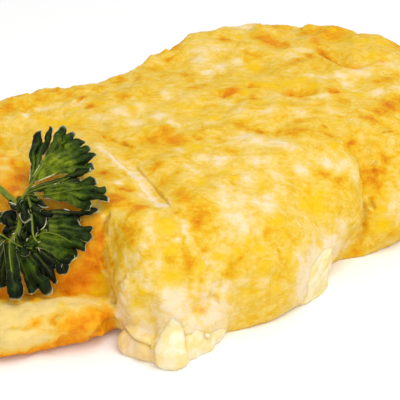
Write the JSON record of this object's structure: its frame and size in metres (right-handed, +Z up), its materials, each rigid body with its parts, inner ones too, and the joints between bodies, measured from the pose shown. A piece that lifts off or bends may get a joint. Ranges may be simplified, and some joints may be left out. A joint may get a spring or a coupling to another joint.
{
  "type": "folded omelette",
  "caption": "Folded omelette with a browned outer leaf, a ragged lip at one end, soft filling at the front fold and a parsley sprig.",
  "frame": {"origin": "centre of the footprint, on the surface that the omelette rests on", "axes": "+X along the long side, away from the end with the ragged lip and the parsley; +Y from the front edge with the soft filling to the back edge; +Z up"},
  "size_m": [0.1828, 0.1063, 0.0392],
  "materials": {
    "egg": "moist fried egg, cream to yolk yellow with orange-brown patches",
    "filling": "moist, creamy, slightly translucent",
    "parsley": "glossy dark green leaf with lighter veins"
  },
  "bodies": {
    "root": {"folded_egg": "egg", "soft_filling": "filling", "parsley_sprig": "parsley"}
  },
  "joints": []
}
